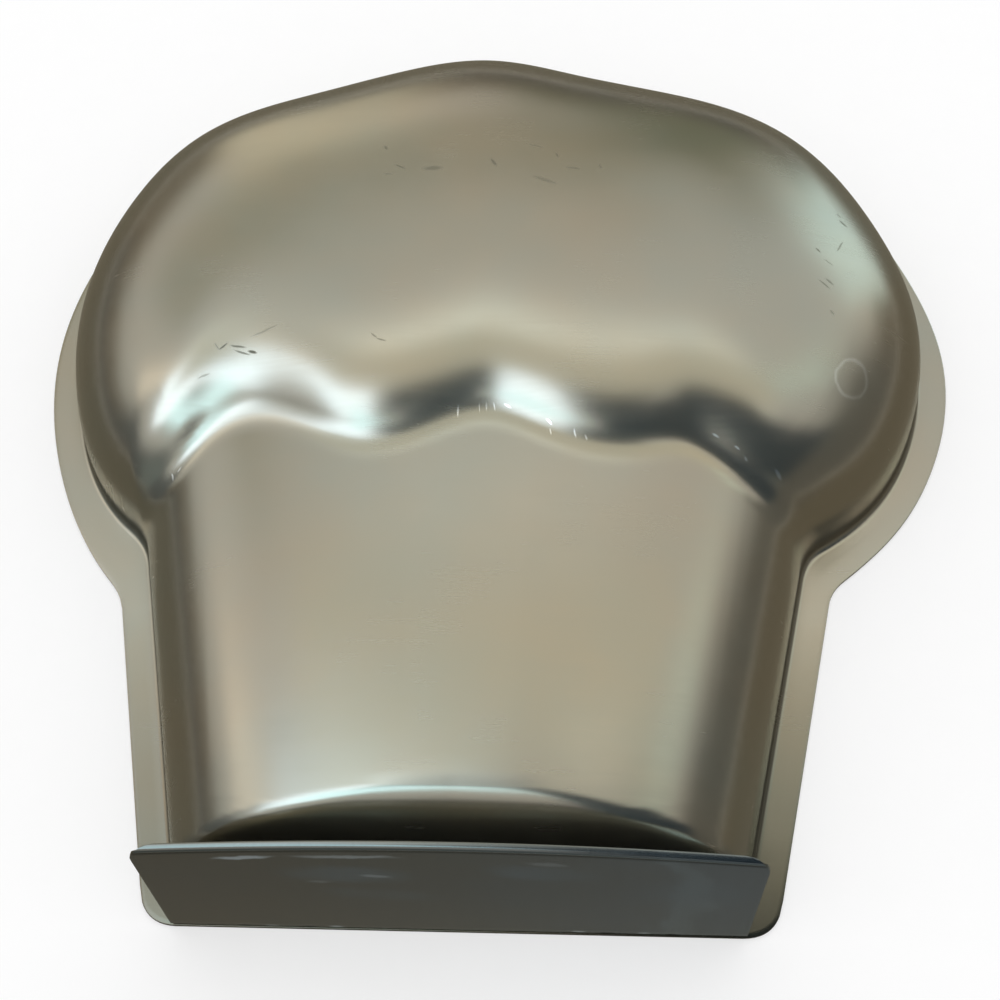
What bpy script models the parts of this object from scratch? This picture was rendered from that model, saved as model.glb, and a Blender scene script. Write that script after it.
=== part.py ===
"""Giant cupcake pan: one pressed aluminium shell with a flat rim, and the folded
foot that keeps it level in the oven. It lies rim down, as it is stored, with the
frosting dome towards +Y and the foot at the cup's end. Lengths are millimetres
until the meshes are made, which are in metres with +Z up."""

import math

import bmesh
import bpy
import numpy as np
from mathutils import Matrix, Vector

MM = 0.001

# Sheet and rim
SHEET = 1.0
RIM_WIDTH = 7.5
RIM_FILLET = 2.5
RIM_CORNER = 9.0
RIM_NOTCH = 3.0

# Frosting dome: how far its wall foot lies from the dome's middle, by bearing
DOME_DEPTH = 55.0
DOME_MIDDLE = 190.0
DOME_FULLNESS = 3.05
DOME_REACH = (
    (-180, 129.0), (-160, 129.0), (-141, 128.8), (-120, 124.0), (-90, 120.0), (-60, 122.0),
    (-39, 126.5), (-27, 133.0), (-15, 137.0), (0, 138.0), (15, 133.7), (36, 126.5),
    (54, 112.5), (72, 105.5), (90, 108.0), (108, 107.0), (127, 111.5), (145, 123.5), (160, 127.0),
)

# Wavy edge where the frosting drops to the cup: x, and how far short of the dome's middle
FROSTING_DROP = 78.0
FROSTING_EDGE = (
    (-98, 109.0), (-88, 96.0), (-77, 80.6), (-64, 74.0), (-48, 79.9), (-31, 88.0),
    (-13, 81.6), (4, 73.7), (21, 81.4), (38, 89.6), (50, 89.8), (62, 88.4),
    (70, 93.7), (78, 102.5), (88, 113.5), (98, 118.0),
)

# Cup
CUP_DEPTH = 44.0
CUP_END_HALF_WIDTH = 75.4
CUP_TAPER = 12.1
CUP_SIDE_FULLNESS = 3.15
CUP_END_FULLNESS = 2.5
CUP_END_ROLL = 16.5
CUP_END_ARCH = 0.65
CUP_ARCH_POWER = 1.5
CUP_CORNER = 6.0
JOIN_BLEND = 6.0
BLEND_SCALE = 60.0

# Levelling foot: a strip welded by its leg to the rim, its free edge level with the dome
FOOT_SHEET = 1.0
FOOT_INSET = 7.9
LEG_CLEARANCE = 0.9
SEAT_GAP = 0.3
FOLD_INSIDE = 0.6
LIP_INSIDE = 0.4
LIP_WIDTH = 0.8
FOOT_CORNER = 6.0
FOOT_BOW = 4.5
DART_INSETS = (19.5, 36.5)
DART_WIDTH = 3.6
DART_DEPTH = 1.3
WELD_COUNT = 4
WELD_INSET = 27.5
WELD_WIDTH = 3.6
WELD_DENT = 0.25
WELD_SLOPE = 0.6

# Mesh steps
ACROSS = 26
CUP_ROWS = (0.0, 0.15, 0.32, 0.5, 0.68, 0.82, 0.92, 1.0)
DOME_ROWS = (
    0.0, 0.03, 0.07, 0.12, 0.18, 0.25, 0.32, 0.4, 0.48, 0.56, 0.64, 0.72, 0.8, 0.87, 0.94, 1.0,
)
DOME_CORNERS = (140.0, 40.0)
CORE_SHARE = 0.8
CORNER_DRAW = 0.08
CORNER_SPREAD = 40.0
FAN_START = 112.0
FAN_FALL = 118.0
FAR_REACH = 90.0
CROWN_STEPS = (0.35, 0.7)
WALL_STEPS = (0.0, 0.14, 0.28, 0.44, 0.6, 0.76, 0.9)
FILLET_TURNS = (30.0, 60.0, 90.0)
SEARCH_STEPS = 40
SMOOTH_ANGLE = 35.0
PLATE_STEPS = (0.045, 0.12, 0.3, 0.5, 0.7, 0.86, 0.93)
DART_STEPS = (-1.0, -0.6, -0.25, 0.25, 0.6, 1.0)
FOOT_COLUMNS = 10
CORNER_SHARE = 0.4
BEND_STEPS = 5
LIP_STEPS = 4
WELD_SIDES = 12


def smooth_line(places, values, at):
    """Value at any place of the smoothest line through the given ones, a cubic spline."""
    places = np.array(places, float)
    values = np.array(values, float)
    span = np.diff(places)
    slope = np.diff(values) / span
    system = np.eye(len(places))
    pull = np.zeros(len(places))
    for k in range(1, len(places) - 1):
        system[k, k - 1:k + 2] = span[k - 1], 2 * (span[k - 1] + span[k]), span[k]
        pull[k] = slope[k] - slope[k - 1]
    bend = np.linalg.solve(system, pull)
    at = np.clip(at, places[0], places[-1])
    i = np.clip(np.searchsorted(places, at, side="right") - 1, 0, len(places) - 2)
    t = (at - places[i]) / span[i]
    u = 1 - t
    curved = ((t**3 - t) * bend[i + 1] + (u**3 - u) * bend[i]) * span[i] ** 2
    return u * values[i] + t * values[i + 1] + curved


def blend_union(a, b, size):
    """Union of two distances with a rounded inner corner."""
    h = np.clip(0.5 + 0.5 * (b - a) / size, 0.0, 1.0)
    return b + (a - b) * h - size * h * (1.0 - h)


def dome_reach(x, y):
    bearings = [a for a, _ in DOME_REACH]
    reaches = [r for _, r in DOME_REACH]
    turns = [a + turn for turn in (-360, 0, 360) for a in bearings]
    return smooth_line(turns, reaches * 3, np.degrees(np.arctan2(y - DOME_MIDDLE, x)))


def frosting_edge(x):
    short = smooth_line([p[0] for p in FROSTING_EDGE], [p[1] for p in FROSTING_EDGE], x)
    return DOME_MIDDLE - short


def cup_half_width(y):
    """Half the cup's width at its foot, between the end wall and the dome."""
    return CUP_END_HALF_WIDTH + math.tan(math.radians(CUP_TAPER)) * (y - cup_end())


def cup_end():
    """Where the end wall leaves the rim."""
    return RIM_WIDTH + RIM_FILLET


def rim_half_width(y):
    """Half the rim's width beside the cup, its flat as wide there as at the end."""
    return cup_half_width(y) + (RIM_WIDTH + RIM_FILLET) / math.cos(math.radians(CUP_TAPER))


def dome_side(x, y, z):
    """Negative inside the frosting dome, zero on its pressed face."""
    n = DOME_FULLNESS
    out = np.hypot(x, y - DOME_MIDDLE) / dome_reach(x, y)
    drop = np.clip((frosting_edge(x) + FROSTING_DROP - y) / FROSTING_DROP, 0.0, None)
    return ((out**n + drop**n + (z / DOME_DEPTH) ** n) ** (1 / n) - 1.0) * BLEND_SCALE


def cup_side(x, y, z):
    """Negative inside the cup, whose end rolls over ever more tightly to its corners."""
    n = CUP_END_FULLNESS
    across = np.abs(x) / cup_half_width(np.minimum(y, DOME_MIDDLE))
    roll = CUP_END_ROLL * (1 - CUP_END_ARCH * np.minimum(across, 1.0) ** CUP_ARCH_POWER)
    across = across ** (CUP_SIDE_FULLNESS / n)
    along = np.clip((cup_end() + roll - y) / roll, 0.0, None)
    plan = (across**CUP_CORNER + along**CUP_CORNER) ** (1 / CUP_CORNER)
    behind = np.clip((y - DOME_MIDDLE) / CUP_END_ROLL, 0.0, None)
    return ((plan**n + behind**n + (z / CUP_DEPTH) ** n) ** (1 / n) - 1.0) * BLEND_SCALE


def pan_side(x, y, z):
    return blend_union(dome_side(x, y, z), cup_side(x, y, z), JOIN_BLEND)


def rim_side(x, y):
    """Negative inside the trimmed outline of the rim."""
    lobe = np.hypot(x, y - DOME_MIDDLE) - dome_reach(x, y) - RIM_FILLET - RIM_WIDTH
    side = (np.abs(x) - rim_half_width(y)) * math.cos(math.radians(CUP_TAPER))
    band = -blend_union(-side, y, RIM_CORNER)
    band = np.maximum(band, y - DOME_MIDDLE)
    return blend_union(lobe, band, RIM_NOTCH)


def search(inside, near, far):
    """Halve the step from a point inside to one outside until the face is met."""
    low = np.zeros(len(near))
    high = np.ones(len(near))
    for _ in range(SEARCH_STEPS):
        middle = (low + high) / 2
        point = near + (far - near) * middle[:, None]
        within = inside(point) < 0
        low = np.where(within, middle, low)
        high = np.where(within, high, middle)
    return near + (far - near) * low[:, None]


def height(x, y):
    """Depth of the pressed face over the rim at each point in plan."""
    foot = np.column_stack([x, y, np.zeros(len(x))])
    top = foot + np.array([0.0, 0.0, DOME_DEPTH + CUP_DEPTH])
    return search(lambda p: pan_side(p[:, 0], p[:, 1], p[:, 2]), foot, top)[:, 2]


def polar_point(bearing, share):
    """Point at a share of the way from the dome's middle to its wall foot."""
    towards = np.array([math.cos(bearing), math.sin(bearing)])
    reach = dome_reach(towards[0], DOME_MIDDLE + towards[1])
    return np.array([0.0, DOME_MIDDLE]) + share * reach * towards


def between(start, end, shares):
    return np.array([start + (end - start) * s for s in shares])


def patch(low, high, left, right, shares):
    """Fill four border lines with rows of points, left to right and low to high."""
    rows = []
    across = np.linspace(0.0, 1.0, len(low))[:, None]
    for k, v in enumerate(shares):
        ruled = low * (1 - v) + high * v
        sides = left[k] * (1 - across) + right[k] * across
        corner_low = low[0] * (1 - across) + low[-1] * across
        corner_high = high[0] * (1 - across) + high[-1] * across
        rows.append(ruled + sides - corner_low * (1 - v) - corner_high * v)
    return rows


def notch_bearing(side):
    """Bearing at which the dome's wall foot meets the cup's, on one side."""
    low = math.radians(-90.0)
    high = math.radians(-90.0 + side * 90.0)
    for _ in range(SEARCH_STEPS):
        middle = (low + high) / 2
        x, y = polar_point(middle, 1.0)
        if cup_side(x, y, 0.0) < 0:
            low = middle
        else:
            high = middle
    return low


def hollow_line(x, near, far):
    """Plan of the hollow between cup and frosting, from one side to the other."""
    def frosting_lower(point):
        z = height(point[:, 0], point[:, 1])
        return cup_side(point[:, 0], point[:, 1], z) - dome_side(point[:, 0], point[:, 1], z)
    start = np.column_stack([x, np.full(len(x), near)])
    end = np.column_stack([x, np.full(len(x), far)])
    return search(frosting_lower, start, end)


def core_arc(start, end, shares):
    """Points of the core's border round the dome, drawn out a little at its corners."""
    points = []
    for bearing in start + (end - start) * np.array(shares):
        aside = min(abs(math.degrees(bearing) % 360 - corner) for corner in DOME_CORNERS)
        drawn = max(0.0, 1 - aside / CORNER_SPREAD) * CORNER_DRAW
        points.append(polar_point(bearing, CORE_SHARE + drawn))
    return np.array(points)


def core_rows(notches):
    """Plan of the top faces, inside the rolled walls: rows from the cup to the dome."""
    left_notch, right_notch = notches
    end = cup_end() + CUP_END_ROLL * CORE_SHARE
    turn = np.linspace(-1.0, 1.0, ACROSS + 1)
    low_line = np.column_stack([turn * CORE_SHARE * cup_half_width(end), np.full(ACROSS + 1, end)])
    waist = polar_point(left_notch, CORE_SHARE), polar_point(right_notch, CORE_SHARE)
    wave_line = hollow_line(np.linspace(waist[0][0], waist[1][0], ACROSS + 1), end, DOME_MIDDLE)
    cup = patch(low_line, wave_line, between(low_line[0], wave_line[0], CUP_ROWS),
                between(low_line[-1], wave_line[-1], CUP_ROWS), CUP_ROWS)
    corners = [math.radians(bearing) for bearing in DOME_CORNERS]
    left = core_arc(left_notch, corners[0] - math.tau, DOME_ROWS)
    right = core_arc(right_notch, corners[1], DOME_ROWS)
    fade = 1.0 - np.array(DOME_ROWS)[:, None]
    left += (wave_line[0] - waist[0]) * fade
    right += (wave_line[-1] - waist[1]) * fade
    top = core_arc(corners[0], corners[1], (turn + 1) / 2)
    dome = patch(wave_line, top, left, right, DOME_ROWS)
    return cup + dome[1:]


def border(rows):
    """Indices of the grid's outer points, counter-clockwise from the low left corner."""
    last_row = len(rows) - 1
    loop = [(0, i) for i in range(ACROSS)]
    loop += [(j, ACROSS) for j in range(last_row)]
    loop += [(last_row, i) for i in range(ACROSS, 0, -1)]
    loop += [(j, 0) for j in range(last_row, 0, -1)]
    return loop


def loop_normals(points):
    """Unit normals of a counter-clockwise loop in plan, pointing out of it."""
    along = np.roll(points, -1, axis=0) - np.roll(points, 1, axis=0)
    normals = np.column_stack([along[:, 1], -along[:, 0]])
    return normals / np.linalg.norm(normals, axis=1)[:, None]


def with_height(points, z):
    return np.column_stack([points, np.broadcast_to(z, len(points))])


def wall_rings(rows, loop):
    """Rings of points from the core's border down the wall and out over the rim. They
    fan out from the dome's middle, and beside the cup from ever lower down."""
    core = np.array([rows[j][i] for j, i in loop])
    share = np.clip((FAN_START - core[:, 1]) / (FAN_START - core[:, 1].min()), 0.0, 1.0)
    outward = core - np.array([0.0, DOME_MIDDLE])
    outward[:, 1] += FAN_FALL * share**2 * (3 - 2 * share)
    outward /= np.linalg.norm(outward, axis=1)[:, None]
    far = core + outward * FAR_REACH
    tall = height(core[:, 0], core[:, 1])
    rings = []
    for step in reversed(WALL_STEPS):
        level = RIM_FILLET + (tall - RIM_FILLET) * step
        ring = search(lambda p: pan_side(p[:, 0], p[:, 1], level), core, far)
        rings.append(with_height(ring, level))
    crown = [core + (rings[0][:, :2] - core) * step for step in CROWN_STEPS]
    rings = [with_height(ring, height(ring[:, 0], ring[:, 1])) for ring in crown] + rings
    foot = rings[-1][:, :2]
    slant = (loop_normals(foot) * outward).sum(axis=1)[:, None]
    for turn in FILLET_TURNS:
        a = math.radians(turn)
        out = foot + outward * RIM_FILLET * (1 - math.cos(a)) / slant
        rings.append(with_height(out, RIM_FILLET * (1 - math.sin(a))))
    edge = search(lambda p: rim_side(p[:, 0], p[:, 1]), foot, far)
    rings.append(with_height(edge, 0.0))
    return rings


def new_object(name, mesh, collection, material):
    obj = bpy.data.objects.new(name, mesh)
    obj.data.materials.append(material)
    collection.objects.link(obj)
    return obj


def make_material(name, colour, roughness):
    material = bpy.data.materials.new(name)
    material.use_nodes = True
    shader = material.node_tree.nodes["Principled BSDF"]
    shader.inputs["Base Color"].default_value = (*colour, 1.0)
    shader.inputs["Roughness"].default_value = roughness
    shader.inputs["Metallic"].default_value = 1.0
    return material


def thicken(obj, thickness, offset):
    solidify = obj.modifiers.new("Sheet", "SOLIDIFY")
    solidify.thickness = thickness * MM
    solidify.offset = offset
    solidify.use_even_offset = True
    solidify.use_quality_normals = True


def face_out(surface, direction):
    """Turn an open surface's faces so that, taken together, they face one way."""
    bmesh.ops.recalc_face_normals(surface, faces=surface.faces)
    surface.normal_update()
    facing = sum(face.normal.dot(direction) * face.calc_area() for face in surface.faces)
    if facing < 0:
        bmesh.ops.reverse_faces(surface, faces=surface.faces)


def smooth_shade(obj):
    obj.data.shade_smooth()
    obj.data.set_sharp_from_angle(angle=math.radians(SMOOTH_ANGLE))


def make_shell(collection, material):
    """The pressed face as a grid with its walls and rim drawn out, made into sheet."""
    notches = notch_bearing(-1), notch_bearing(1)
    rows = core_rows(notches)
    loop = border(rows)
    rings = wall_rings(rows, loop)
    grid = bmesh.new()
    bmesh.ops.create_grid(grid, x_segments=ACROSS, y_segments=len(rows) - 1, size=1.0)
    grid.verts.ensure_lookup_table()
    grid.faces.ensure_lookup_table()
    for j, row in enumerate(rows):
        z = height(row[:, 0], row[:, 1])
        for i, (x, y) in enumerate(row):
            grid.verts[j * (ACROSS + 1) + i].co = (x, y, z[i])
    outer = [grid.verts[j * (ACROSS + 1) + i] for j, i in loop]
    for ring in rings:
        drawn = [grid.verts.new(point) for point in ring]
        for k in range(len(loop)):
            after = (k + 1) % len(loop)
            grid.faces.new((outer[k], drawn[k], drawn[after], outer[after]))
        outer = drawn
    corner = rings[-1][:, :2]
    middle = (corner.min(axis=0) + corner.max(axis=0)) / 2
    for vert in grid.verts:
        vert.co.x = (vert.co.x - middle[0]) * MM
        vert.co.y = (vert.co.y - middle[1]) * MM
        vert.co.z = (vert.co.z + SHEET) * MM
    face_out(grid, Vector((0.0, 0.0, 1.0)))
    mesh = bpy.data.meshes.new("pan_shell")
    grid.to_mesh(mesh)
    grid.free()
    shell = new_object("pan_shell", mesh, collection, material)
    thicken(shell, SHEET, -1.0)
    smooth_shade(shell)
    return middle


def foot_top():
    """Height of the foot's free edge, level with the dome's outer face."""
    return DOME_DEPTH + SHEET


def foot_half_width():
    return rim_half_width(0.0) - FOOT_INSET


def leg_end():
    """How far the leg reaches in over the rim from its edge."""
    return RIM_WIDTH - LEG_CLEARANCE


def weld_line():
    """Middle of the leg's flat, between its edge and the fold."""
    return (leg_end() + FOLD_INSIDE + FOOT_SHEET) / 2


def foot_path():
    """Side view of the foot's outer face: in along the leg, up the plate, over the lip.
    The third value is how far a dart presses in there."""
    seat = SHEET + SEAT_GAP
    fold = FOLD_INSIDE + FOOT_SHEET
    lip = LIP_INSIDE + FOOT_SHEET
    top = foot_top()
    path = [(leg_end(), seat, 0.0), (weld_line(), seat, 0.0)]
    for k in range(BEND_STEPS + 1):
        a = math.pi / 2 * k / BEND_STEPS
        path.append((fold * (1 - math.sin(a)), seat + fold * (1 - math.cos(a)), math.sin(2 * a)))
    rise = top - lip - seat - fold
    path += [(0.0, seat + fold + rise * step, 0.0) for step in PLATE_STEPS]
    for k in range(LIP_STEPS + 1):
        a = math.pi / 2 * k / LIP_STEPS
        path.append((lip * (1 - math.cos(a)), top - lip * (1 - math.sin(a)), 0.0))
    path += [(lip + LIP_WIDTH * 0.5, top, 0.0), (lip + LIP_WIDTH, top, 0.0)]
    return path


def dart_places():
    half = foot_half_width()
    return [side * (half - inset) for side in (-1, 1) for inset in DART_INSETS]


def foot_columns():
    """Places across the foot, closer together at the darts."""
    half = foot_half_width()
    places = list(np.linspace(-half, half, FOOT_COLUMNS + 1))
    for dart in dart_places():
        places = [p for p in places if abs(p - dart) > DART_WIDTH]
        places += [dart + step * DART_WIDTH / 2 for step in DART_STEPS]
    places += [side * (half - FOOT_CORNER * CORNER_SHARE) for side in (-1, 1)]
    return sorted(places)


def corner_trim(past):
    """How far the foot's side edge is cut in, this far into its rounded corner."""
    return FOOT_CORNER - math.sqrt(FOOT_CORNER**2 - past**2)


def make_foot(collection, cutters, material, middle):
    """A folded strip: leg on the rim, upright plate, pressed darts and a turned lip."""
    path = foot_path()
    columns = foot_columns()
    half = foot_half_width()
    blank = sum(math.dist(a[:2], b[:2]) for a, b in zip(path, path[1:]))
    run = 0.0
    sheet = bmesh.new()
    bmesh.ops.create_grid(sheet, x_segments=len(columns) - 1, y_segments=len(path) - 1, size=1.0)
    sheet.verts.ensure_lookup_table()
    for j, (y, z, turned) in enumerate(path):
        if j:
            run += math.dist(path[j - 1][:2], (y, z))
        narrow = 1.0 - corner_trim(max(FOOT_CORNER - (blank - run), 0.0)) / half
        for i, column in enumerate(columns):
            x = column * narrow
            dent = sum(math.cos(math.pi * (x - dart) / DART_WIDTH) ** 2
                       for dart in dart_places() if abs(x - dart) < DART_WIDTH / 2)
            press = DART_DEPTH * dent * turned
            bow = FOOT_BOW * (1 - (x / half) ** 2) * (z / foot_top()) ** 2
            point = Vector((x - middle[0], y + press + bow - middle[1], z + press))
            sheet.verts[j * len(columns) + i].co = point * MM
    face_out(sheet, Vector((0.0, -1.0, 0.0)))
    mesh = bpy.data.meshes.new("levelling_foot")
    sheet.to_mesh(mesh)
    sheet.free()
    foot = new_object("levelling_foot", mesh, collection, material)
    thicken(foot, FOOT_SHEET, -1.0)
    smooth_shade(foot)
    press_welds(foot, cutters, middle)


def press_welds(foot, cutters, middle):
    """Shallow round dents of the welding tips in the top of the leg."""
    reach = foot_half_width() - WELD_INSET
    tips = bmesh.new()
    for x in np.linspace(-reach, reach, WELD_COUNT):
        centre = Vector((x - middle[0], weld_line() - middle[1], SHEET + SEAT_GAP + FOOT_SHEET))
        bmesh.ops.create_cone(
            tips, cap_ends=True, segments=WELD_SIDES, depth=2 * WELD_DENT * MM,
            radius1=(WELD_WIDTH / 2 - WELD_SLOPE) * MM, radius2=(WELD_WIDTH / 2 + WELD_SLOPE) * MM,
            matrix=Matrix.Translation(centre * MM),
        )
    mesh = bpy.data.meshes.new("weld_tips")
    tips.to_mesh(mesh)
    tips.free()
    cutter = bpy.data.objects.new("weld_tips", mesh)
    cutter.hide_render = True
    cutter.display_type = "WIRE"
    cutters.objects.link(cutter)
    cut = foot.modifiers.new("Weld dents", "BOOLEAN")
    cut.operation = "DIFFERENCE"
    cut.solver = "EXACT"
    cut.object = cutter


def main():
    for obj in list(bpy.data.objects):
        bpy.data.objects.remove(obj, do_unlink=True)
    collection = bpy.data.collections.new("giant_cupcake_pan")
    bpy.context.scene.collection.children.link(collection)
    satin = make_material("satin_aluminium", (0.42, 0.4, 0.35), 0.28)
    dark = make_material("shaded_aluminium", (0.3, 0.31, 0.3), 0.34)
    cutters = bpy.data.collections.new("cutters")
    bpy.context.scene.collection.children.link(cutters)
    middle = make_shell(collection, satin)
    make_foot(collection, cutters, dark, middle)


main()
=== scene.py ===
import math

import bmesh
import bpy
import numpy as np
from mathutils import Matrix, Vector


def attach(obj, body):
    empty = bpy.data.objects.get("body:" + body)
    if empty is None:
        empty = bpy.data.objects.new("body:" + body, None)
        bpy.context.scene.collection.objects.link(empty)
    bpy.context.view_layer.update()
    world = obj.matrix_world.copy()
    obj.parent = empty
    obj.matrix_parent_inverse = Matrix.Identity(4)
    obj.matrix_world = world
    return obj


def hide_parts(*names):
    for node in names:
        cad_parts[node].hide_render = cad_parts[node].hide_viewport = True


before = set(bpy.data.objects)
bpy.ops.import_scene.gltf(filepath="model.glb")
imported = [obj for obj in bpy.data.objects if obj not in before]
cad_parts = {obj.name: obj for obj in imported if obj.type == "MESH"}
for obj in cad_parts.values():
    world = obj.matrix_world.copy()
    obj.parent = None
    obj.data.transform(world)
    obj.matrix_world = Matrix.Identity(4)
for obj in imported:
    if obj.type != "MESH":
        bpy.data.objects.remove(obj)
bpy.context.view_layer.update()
bpy.ops.object.select_all(action="DESELECT")
print("frame loaded:", sorted(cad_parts))

mm = 0.001

# The pressed shell, in millimetres, measured from the rim's end and the cup's middle. A
# reach goes out from the dome's middle at a bearing in degrees. A point of the frosting's
# edge has its place across, and how far it lies before the dome's middle
shell = {
    "sheet": 1.0,
    "rimWidth": 7.5,
    "rimFillet": 2.5,
    "rimCorner": 9.0,
    "rimNotch": 3.0,
    "domeDepth": 55.0,
    "domeMiddle": 190.0,
    "domeFullness": 3.05,
    "domeReach": (
        (-180, 129.0), (-160, 129.0), (-141, 128.8), (-120, 124.0), (-90, 120.0),
        (-60, 122.0), (-39, 126.5), (-27, 133.0), (-15, 137.0), (0, 138.0), (15, 133.7),
        (36, 126.5), (54, 112.5), (72, 105.5), (90, 108.0), (108, 107.0), (127, 111.5),
        (145, 123.5), (160, 127.0),
    ),
    "frostingDrop": 78.0,
    "frostingEdge": (
        (-98, 109.0), (-88, 96.0), (-77, 80.6), (-64, 74.0), (-48, 79.9), (-31, 88.0),
        (-13, 81.6), (4, 73.7), (21, 81.4), (38, 89.6), (50, 89.8), (62, 88.4),
        (70, 93.7), (78, 102.5), (88, 113.5), (98, 118.0),
    ),
    "cupDepth": 44.0,
    "cupEndHalfWidth": 75.4,
    "cupTaper": 12.1,
    "cupEndFullness": 2.5,
    "cupSideFullness": 3.15,
    "cupEndRoll": 16.5,
    "cupEndArch": 0.65,
    "cupArchPower": 1.5,
    "cupCorner": 6.0,
    "joinBlend": 3.5,
    "blendScale": 60.0,
    "across": 104,
    "finer": 4,
    "cupRows": (0.0, 0.15, 0.32, 0.5, 0.68, 0.82, 0.92, 1.0),
    "domeRows": (
        0.0, 0.03, 0.07, 0.12, 0.18, 0.25, 0.32, 0.4, 0.48, 0.56, 0.64, 0.72, 0.8, 0.87,
        0.94, 1.0,
    ),
    "domeCorners": (140.0, 40.0),
    "coreShare": 0.8,
    "cornerShare": 0.08,
    "cornerSpread": 40.0,
    "fanStart": 112.0,
    "fanFall": 118.0,
    "farReach": 90.0,
    "crownSteps": (0.2, 0.4, 0.6, 0.8),
    "wallSteps": (0.0, 0.14, 0.28, 0.44, 0.6, 0.76, 0.9, 1.0),
    "filletTurns": (15.0, 30.0, 45.0, 60.0, 75.0, 90.0),
    "rimSteps": (0.3, 0.6, 0.85, 1.0),
    "searchSteps": 40,
    "edgeRound": 0.22,
}

# The folded foot, in millimetres
foot = {
    "sheet": 1.0,
    "inset": 7.9,
    "legClearance": 0.9,
    "seatGap": 0.3,
    "foldInside": 0.6,
    "lipInside": 0.4,
    "lipWidth": 0.8,
    "corner": 6.0,
    "bow": 2.2,
    "dartInsets": (19.5, 36.5),
    "dartWidth": 3.6,
    "dartDepth": 1.3,
    "weldCount": 4,
    "weldInset": 27.5,
    "weldWidth": 3.6,
    "weldDent": 0.25,
    "weldSlope": 0.6,
    "columns": 290,
    "legRows": 10,
    "plateRows": 26,
    "bendSteps": 8,
    "edgeRound": 0.18,
}

# How the cut edges are rounded and shaded; angles in degrees
edge = {
    "segments": 2,
    "sharp": 60.0,
    "smooth": 40.0,
}


def smoothLine(places, values, at):
    places = np.array(places, float)
    values = np.array(values, float)
    span = np.diff(places)
    slope = np.diff(values) / span
    system = np.eye(len(places))
    pull = np.zeros(len(places))
    for k in range(1, len(places) - 1):
        system[k, k - 1:k + 2] = span[k - 1], 2 * (span[k - 1] + span[k]), span[k]
        pull[k] = slope[k] - slope[k - 1]
    bend = np.linalg.solve(system, pull)
    at = np.clip(at, places[0], places[-1])
    i = np.clip(np.searchsorted(places, at, side="right") - 1, 0, len(places) - 2)
    t = (at - places[i]) / span[i]
    u = 1 - t
    curved = ((t**3 - t) * bend[i + 1] + (u**3 - u) * bend[i]) * span[i] ** 2
    return u * values[i] + t * values[i + 1] + curved


def blendUnion(a, b, size):
    h = np.clip(0.5 + 0.5 * (b - a) / size, 0.0, 1.0)
    return b + (a - b) * h - size * h * (1.0 - h)


def domeReach(x, y):
    bearings = [a for a, _ in shell["domeReach"]]
    reaches = [r for _, r in shell["domeReach"]]
    turns = [a + turn for turn in (-360, 0, 360) for a in bearings]
    return smoothLine(turns, reaches * 3, np.degrees(np.arctan2(y - shell["domeMiddle"], x)))


def frostingEdge(x):
    places = [p[0] for p in shell["frostingEdge"]]
    short = [p[1] for p in shell["frostingEdge"]]
    return shell["domeMiddle"] - smoothLine(places, short, x)


def cupEnd():
    return shell["rimWidth"] + shell["rimFillet"]


def cupHalfWidth(y):
    return shell["cupEndHalfWidth"] + math.tan(math.radians(shell["cupTaper"])) * (y - cupEnd())


def rimHalfWidth(y):
    return cupHalfWidth(y) + cupEnd() / math.cos(math.radians(shell["cupTaper"]))


def domeSide(x, y, z):
    n = shell["domeFullness"]
    drop = shell["frostingDrop"]
    out = np.hypot(x, y - shell["domeMiddle"]) / domeReach(x, y)
    front = np.clip((frostingEdge(x) + drop - y) / drop, 0.0, None)
    level = (out**n + front**n + (z / shell["domeDepth"]) ** n) ** (1 / n)
    return (level - 1.0) * shell["blendScale"]


def cupSide(x, y, z):
    n = shell["cupEndFullness"]
    across = np.abs(x) / cupHalfWidth(np.minimum(y, shell["domeMiddle"]))
    arch = shell["cupEndArch"] * np.minimum(across, 1.0) ** shell["cupArchPower"]
    roll = shell["cupEndRoll"] * (1 - arch)
    across = across ** (shell["cupSideFullness"] / n)
    along = np.clip((cupEnd() + roll - y) / roll, 0.0, None)
    m = shell["cupCorner"]
    plan = (across**m + along**m) ** (1 / m)
    behind = np.clip((y - shell["domeMiddle"]) / shell["cupEndRoll"], 0.0, None)
    level = (plan**n + behind**n + (z / shell["cupDepth"]) ** n) ** (1 / n)
    return (level - 1.0) * shell["blendScale"]


def panSide(x, y, z):
    return blendUnion(domeSide(x, y, z), cupSide(x, y, z), shell["joinBlend"])


def rimSide(x, y):
    middle = shell["domeMiddle"]
    lobe = np.hypot(x, y - middle) - domeReach(x, y) - cupEnd()
    side = (np.abs(x) - rimHalfWidth(y)) * math.cos(math.radians(shell["cupTaper"]))
    band = -blendUnion(-side, y, shell["rimCorner"])
    band = np.maximum(band, y - middle)
    return blendUnion(lobe, band, shell["rimNotch"])


def search(inside, near, far):
    low = np.zeros(len(near))
    high = np.ones(len(near))
    for _ in range(shell["searchSteps"]):
        middle = (low + high) / 2
        within = inside(near + (far - near) * middle[:, None]) < 0
        low = np.where(within, middle, low)
        high = np.where(within, high, middle)
    return near + (far - near) * low[:, None]


def height(x, y):
    below = np.column_stack([x, y, np.zeros(len(x))])
    above = below + np.array([0.0, 0.0, shell["domeDepth"] + shell["cupDepth"]])
    return search(lambda p: panSide(p[:, 0], p[:, 1], p[:, 2]), below, above)[:, 2]


def finer(values, parts):
    steps = np.linspace(0, len(values) - 1, (len(values) - 1) * parts + 1)
    return np.interp(steps, range(len(values)), values)


def polarPoint(bearing, share):
    towards = np.array([math.cos(bearing), math.sin(bearing)])
    middle = shell["domeMiddle"]
    return np.array([0.0, middle]) + share * domeReach(towards[0], middle + towards[1]) * towards


def between(start, end, shares):
    return np.array([start + (end - start) * s for s in shares])


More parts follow.
